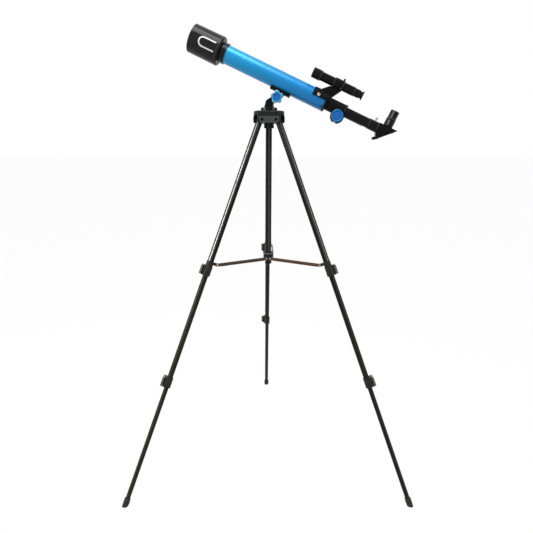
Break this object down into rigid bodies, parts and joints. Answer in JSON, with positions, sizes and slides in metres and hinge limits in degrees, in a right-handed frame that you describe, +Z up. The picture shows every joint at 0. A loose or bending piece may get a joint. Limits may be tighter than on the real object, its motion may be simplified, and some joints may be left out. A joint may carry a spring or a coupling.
{
  "type": "refractor telescope on tripod",
  "caption": "Small refractor telescope with finder, rack and pinion focuser and star diagonal, on a turning neck over a folding tripod with telescoping legs and a sliding brace hub.",
  "frame": {"origin": "on the floor, in the middle of the outline's footprint", "axes": "+Z up, +X to the right of the front view (towards the eyepiece), +Y away from the viewer, to the back leg"},
  "size_m": [0.8816, 0.766, 1.3913],
  "materials": {
    "black_plastic": "satin moulded black",
    "grey_plastic": "satin dark grey",
    "lever_plastic": "satin charcoal",
    "gloss_black": "gloss black",
    "blue_paint": "metallic blue coating on a rolled aluminium tube",
    "blue_plastic": "gloss blue moulding",
    "steel": "plain steel",
    "bright_chrome": "bright plated",
    "lens_glass": "polished, coated",
    "mirror_glass": "silvered",
    "black_aluminium": "gloss black coated tube",
    "painted_strip": "brown-black painted pressed strip",
    "foot_rubber": "matt rubber"
  },
  "bodies": {
    "tripod_head": {"crown": "black_plastic", "crown_plates": "grey_plastic", "leg_pivot_pins": "steel", "centre_column": "black_aluminium", "column_cap": "black_plastic"},
    "turning_neck": {"yoke": "black_plastic", "altitude_bolt": "steel"},
    "altitude_knob": {"altitude_knob": "blue_plastic"},
    "optical_tube": {"main_tube": "blue_paint", "saddle": "black_plastic", "lens_cell": "black_plastic", "objective_lens": "lens_glass", "lens_retainer": "black_plastic", "dew_shield": "gloss_black", "focuser_body": "black_plastic", "pinion_cover": "black_plastic", "finder_bracket": "black_plastic", "finder_tube": "gloss_black", "finder_lens": "lens_glass", "finder_screws": "steel", "finder_nuts": "bright_chrome"},
    "focus_drive": {"pinion_shaft": "steel", "focus_knobs": "blue_plastic"},
    "drawtube": {"drawtube": "gloss_black"},
    "drawtube_thumbscrew": {"drawtube_thumbscrew": "steel"},
    "star_diagonal": {"diagonal_housing": "black_plastic", "diagonal_barrel": "gloss_black", "diagonal_mirror": "mirror_glass", "diagonal_cover": "black_plastic"},
    "eyepiece": {"eyepiece_body": "gloss_black", "eyepiece_lenses": "lens_glass"},
    "finder_eyepiece": {"finder_eyepiece": "gloss_black"},
    "spreader_hub": {"spreader_hub": "black_plastic"},
    "left_leg": {"left_upper_tube": "black_aluminium", "left_upper_clamp": "black_plastic"},
    "left_middle_section": {"left_middle_tube": "black_aluminium", "left_lower_clamp": "black_plastic"},
    "left_lower_section": {"left_lower_tube": "black_aluminium", "left_foot": "foot_rubber"},
    "left_upper_lever": {"left_upper_lever": "lever_plastic"},
    "left_lower_lever": {"left_lower_lever": "lever_plastic"},
    "left_arm": {"left_arm": "painted_strip"},
    "right_leg": {"right_upper_tube": "black_aluminium", "right_upper_clamp": "black_plastic"},
    "right_middle_section": {"right_middle_tube": "black_aluminium", "right_lower_clamp": "black_plastic"},
    "right_lower_section": {"right_lower_tube": "black_aluminium", "right_foot": "foot_rubber"},
    "right_upper_lever": {"right_upper_lever": "lever_plastic"},
    "right_lower_lever": {"right_lower_lever": "lever_plastic"},
    "right_arm": {"right_arm": "painted_strip"},
    "back_leg": {"back_upper_tube": "black_aluminium", "back_upper_clamp": "black_plastic"},
    "back_middle_section": {"back_middle_tube": "black_aluminium", "back_lower_clamp": "black_plastic"},
    "back_lower_section": {"back_lower_tube": "black_aluminium", "back_foot": "foot_rubber"},
    "back_upper_lever": {"back_upper_lever": "lever_plastic"},
    "back_lower_lever": {"back_lower_lever": "lever_plastic"},
    "back_arm": {"back_arm": "painted_strip"}
  },
  "joints": [
    {"name": "azimuth_turn", "type": "hinge", "parent": "tripod_head", "child": "turning_neck", "pos_m": [0, -0.12477, 1.15389], "axis": [0, 0, 1], "continuous": true},
    {"name": "altitude_tilt", "type": "hinge", "parent": "turning_neck", "child": "optical_tube", "pos_m": [0.02471, -0.12781, 1.19089], "axis": [0.1219, 0.9925, 0], "range_deg": [-45, 35]},
    {"name": "altitude_knob_turn", "type": "hinge", "parent": "turning_neck", "child": "altitude_knob", "pos_m": [0.02471, -0.12781, 1.19089], "axis": [0.1219, 0.9925, 0], "continuous": true},
    {"name": "drawtube_slide", "type": "slide", "parent": "optical_tube", "child": "drawtube", "axis": [0.901, -0.1106, -0.4195], "range_m": [-0.065, 0.025]},
    {"name": "focus_turn", "type": "hinge", "parent": "optical_tube", "child": "focus_drive", "pos_m": [0.19601, -0.14884, 1.13885], "axis": [0.1219, 0.9925, 0], "range_deg": [-677.63, 260.94]},
    {"name": "thumbscrew_turn", "type": "hinge", "parent": "drawtube", "child": "drawtube_thumbscrew", "pos_m": [0.30616, -0.16237, 1.1263], "axis": [0.4163, -0.0511, 0.9078], "range_deg": [0, 360]},
    {"name": "diagonal_turn", "type": "hinge", "parent": "drawtube", "child": "star_diagonal", "pos_m": [0.31216, -0.1631, 1.1072], "axis": [0.901, -0.1106, -0.4195], "range_deg": [-90, 90]},
    {"name": "eyepiece_pull", "type": "slide", "parent": "star_diagonal", "child": "eyepiece", "axis": [0.4163, -0.0511, 0.9078], "range_m": [0, 0.02]},
    {"name": "finder_focus", "type": "slide", "parent": "optical_tube", "child": "finder_eyepiece", "axis": [0.901, -0.1106, -0.4195], "range_m": [-0.001, 0.006]},
    {"name": "left_leg_fold", "type": "hinge", "parent": "tripod_head", "child": "left_leg", "pos_m": [-0.02685, -0.14028, 1.128], "axis": [0.5, -0.866, 0], "range_deg": [0, 20.99]},
    {"name": "left_upper_lever_flip", "type": "hinge", "parent": "left_leg", "child": "left_upper_lever", "pos_m": [-0.19916, -0.21692, 0.70129], "axis": [-0.3313, -0.1913, -0.9239], "range_deg": [0, 95]},
    {"name": "left_lower_lever_flip", "type": "hinge", "parent": "left_middle_section", "child": "left_lower_lever", "pos_m": [-0.3152, -0.28467, 0.37378], "axis": [-0.3313, -0.1913, -0.9239], "range_deg": [0, 95]},
    {"name": "left_middle_slide", "type": "slide", "parent": "left_leg", "child": "left_middle_section", "axis": [0.3313, 0.1913, 0.9239], "range_m": [0, 0.3]},
    {"name": "left_lower_slide", "type": "slide", "parent": "left_middle_section", "child": "left_lower_section", "axis": [0.3313, 0.1913, 0.9239], "range_m": [0, 0.3]},
    {"name": "left_arm_fold", "type": "hinge", "parent": "spreader_hub", "child": "left_arm", "pos_m": [-0.00624, -0.14397, 0.714], "axis": [0.5, -0.866, 0], "range_deg": [0, 86.76]},
    {"name": "right_leg_fold", "type": "hinge", "parent": "tripod_head", "child": "right_leg", "pos_m": [0.02685, -0.14028, 1.128], "axis": [0.5, 0.866, 0], "range_deg": [0, 20.99]},
    {"name": "right_upper_lever_flip", "type": "hinge", "parent": "right_leg", "child": "right_upper_lever", "pos_m": [0.19916, -0.21692, 0.70129], "axis": [-0.3313, 0.1913, 0.9239], "range_deg": [0, 95]},
    {"name": "right_lower_lever_flip", "type": "hinge", "parent": "right_middle_section", "child": "right_lower_lever", "pos_m": [0.3152, -0.28467, 0.37378], "axis": [-0.3313, 0.1913, 0.9239], "range_deg": [0, 95]},
    {"name": "right_middle_slide", "type": "slide", "parent": "right_leg", "child": "right_middle_section", "axis": [-0.3313, 0.1913, 0.9239], "range_m": [0, 0.3]},
    {"name": "right_lower_slide", "type": "slide", "parent": "right_middle_section", "child": "right_lower_section", "axis": [-0.3313, 0.1913, 0.9239], "range_m": [0, 0.3]},
    {"name": "right_arm_fold", "type": "hinge", "parent": "spreader_hub", "child": "right_arm", "pos_m": [0.00624, -0.14397, 0.714], "axis": [0.5, 0.866, 0], "range_deg": [0, 86.76]},
    {"name": "back_leg_fold", "type": "hinge", "parent": "tripod_head", "child": "back_leg", "pos_m": [0, -0.09377, 1.128], "axis": [-1, 0, 0], "range_deg": [0, 20.99]},
    {"name": "back_upper_lever_flip", "type": "hinge", "parent": "back_leg", "child": "back_upper_lever", "pos_m": [-0.01978, 0.09377, 0.70129], "axis": [0, -0.3825, 0.9239], "range_deg": [0, 95]},
    {"name": "back_lower_lever_flip", "type": "hinge", "parent": "back_middle_section", "child": "back_lower_lever", "pos_m": [-0.01913, 0.22814, 0.37378], "axis": [0, -0.3825, 0.9239], "range_deg": [0, 95]},
    {"name": "back_middle_slide", "type": "slide", "parent": "back_leg", "child": "back_middle_section", "axis": [0, -0.3825, 0.9239], "range_m": [0, 0.3]},
    {"name": "back_lower_slide", "type": "slide", "parent": "back_middle_section", "child": "back_lower_section", "axis": [0, -0.3825, 0.9239], "range_m": [0, 0.3]},
    {"name": "hub_slide", "type": "slide", "parent": "tripod_head", "child": "spreader_hub", "axis": [0, 0, 1], "range_m": [0, 0.14073]},
    {"name": "back_arm_fold", "type": "hinge", "parent": "spreader_hub", "child": "back_arm", "pos_m": [0.0135, -0.10977, 0.714], "axis": [-1, 0, 0], "range_deg": [0, 86.76]}
  ],
  "couplings": [
    {"joint": "focus_turn", "follows": "drawtube_slide", "rad_per_m": 181.82},
    {"joint": "left_arm_fold", "follows": "left_leg_fold", "ratio": 4.133},
    {"joint": "right_leg_fold", "follows": "left_leg_fold", "ratio": 1},
    {"joint": "right_arm_fold", "follows": "left_leg_fold", "ratio": 4.133},
    {"joint": "back_leg_fold", "follows": "left_leg_fold", "ratio": 1},
    {"joint": "back_arm_fold", "follows": "left_leg_fold", "ratio": 4.133},
    {"joint": "hub_slide", "follows": "left_leg_fold", "m_per_rad": 0.38411}
  ]
}
